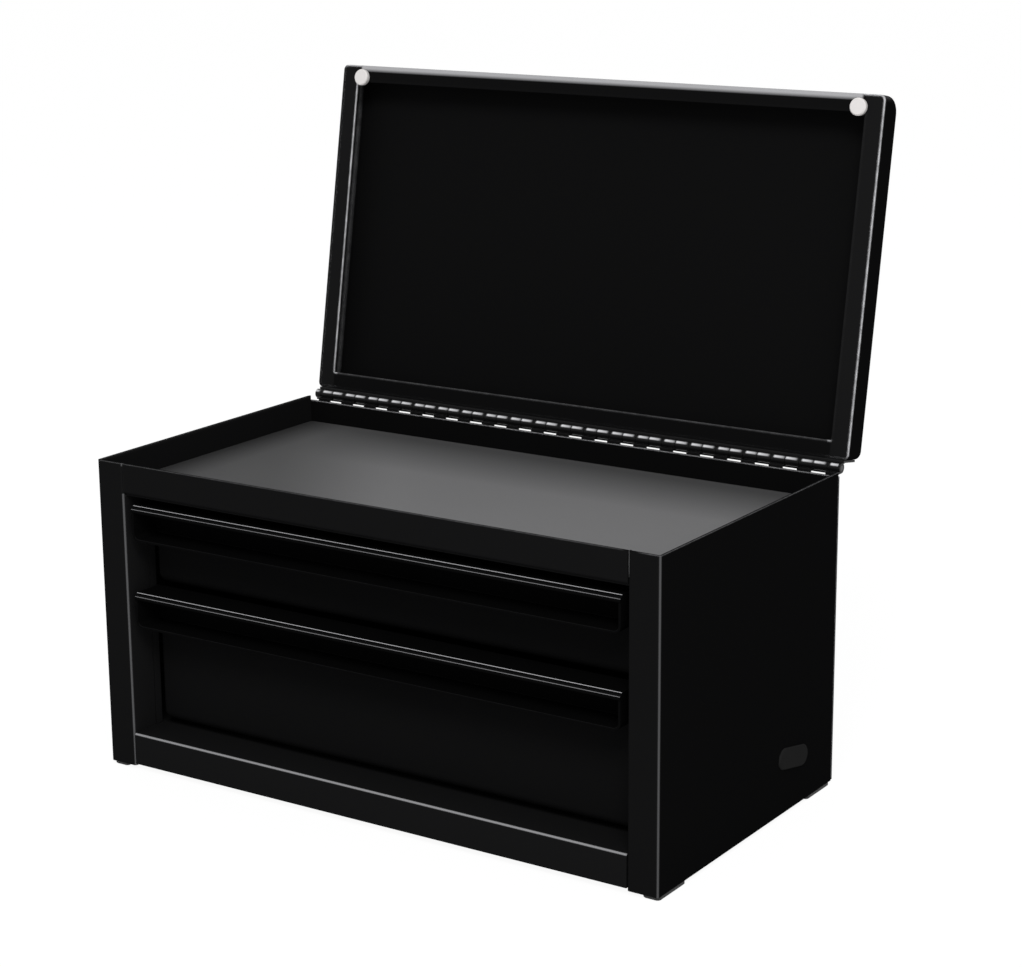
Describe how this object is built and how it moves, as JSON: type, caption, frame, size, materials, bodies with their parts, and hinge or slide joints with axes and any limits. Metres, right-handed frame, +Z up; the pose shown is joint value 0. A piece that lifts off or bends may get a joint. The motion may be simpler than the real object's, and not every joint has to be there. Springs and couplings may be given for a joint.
{
  "type": "machinist tool chest",
  "caption": "Small black steel tool chest with a lift-up lid on a continuous hinge, an open matted tray under it and two drawers with full-width finger pulls.",
  "frame": {"origin": "on the surface that the chest stands on, in the middle of what the chest with its open lid covers", "axes": "+X to the right seen from the front, +Y to the back, +Z up"},
  "size_m": [0.3016, 0.2089, 0.3136],
  "materials": {
    "cabinet_paint": "gloss black powder coat",
    "lid_paint": "gloss black powder coat",
    "drawer_paint": "gloss black powder coat",
    "pull_paint": "gloss black powder coat",
    "hinge": "black coated steel",
    "pin": "drawn steel wire",
    "rivets": "painted over",
    "slides": "zinc plated",
    "mat": "matt grey foam rubber",
    "liner": "matt black foam rubber",
    "feet": "matt black",
    "bumpers": "white, satin",
    "plugs": "black, satin"
  },
  "bodies": {
    "cabinet": {"side_panel_left": "cabinet_paint", "side_panel_right": "cabinet_paint", "back_panel": "cabinet_paint", "bottom_pan": "cabinet_paint", "top_rail": "cabinet_paint", "tray_floor": "cabinet_paint", "tray_mat": "mat", "hinge_body_leaf": "hinge", "hinge_pin": "pin", "hinge_body_rivets": "rivets", "slide_channel_upper_left": "slides", "slide_channel_upper_right": "slides", "slide_channel_lower_left": "slides", "slide_channel_lower_right": "slides", "foot_front_left": "feet", "foot_front_right": "feet", "foot_rear_left": "feet", "foot_rear_right": "feet", "side_plug_left": "plugs", "side_plug_right": "plugs"},
    "lid": {"lid_shell": "lid_paint", "hinge_lid_leaf": "hinge", "hinge_lid_rivets": "rivets", "lid_bumper_left": "bumpers", "lid_bumper_right": "bumpers"},
    "drawer_upper": {"drawer_box_upper": "drawer_paint", "drawer_pull_upper": "pull_paint", "drawer_liner_upper": "liner", "drawer_runner_upper_left": "slides", "drawer_runner_upper_right": "slides"},
    "drawer_lower": {"drawer_box_lower": "drawer_paint", "drawer_pull_lower": "pull_paint", "drawer_liner_lower": "liner", "drawer_runner_lower_left": "slides", "drawer_runner_lower_right": "slides"}
  },
  "joints": [
    {"name": "lid_hinge", "type": "hinge", "parent": "cabinet", "child": "lid", "pos_m": [0, 0.05985, 0.1493], "axis": [1, 0, 0], "range_deg": [0, 100]},
    {"name": "upper_drawer_slide", "type": "slide", "parent": "cabinet", "child": "drawer_upper", "axis": [0, -1, 0], "range_m": [0, 0.1]},
    {"name": "lower_drawer_slide", "type": "slide", "parent": "cabinet", "child": "drawer_lower", "axis": [0, -1, 0], "range_m": [0, 0.1]}
  ]
}
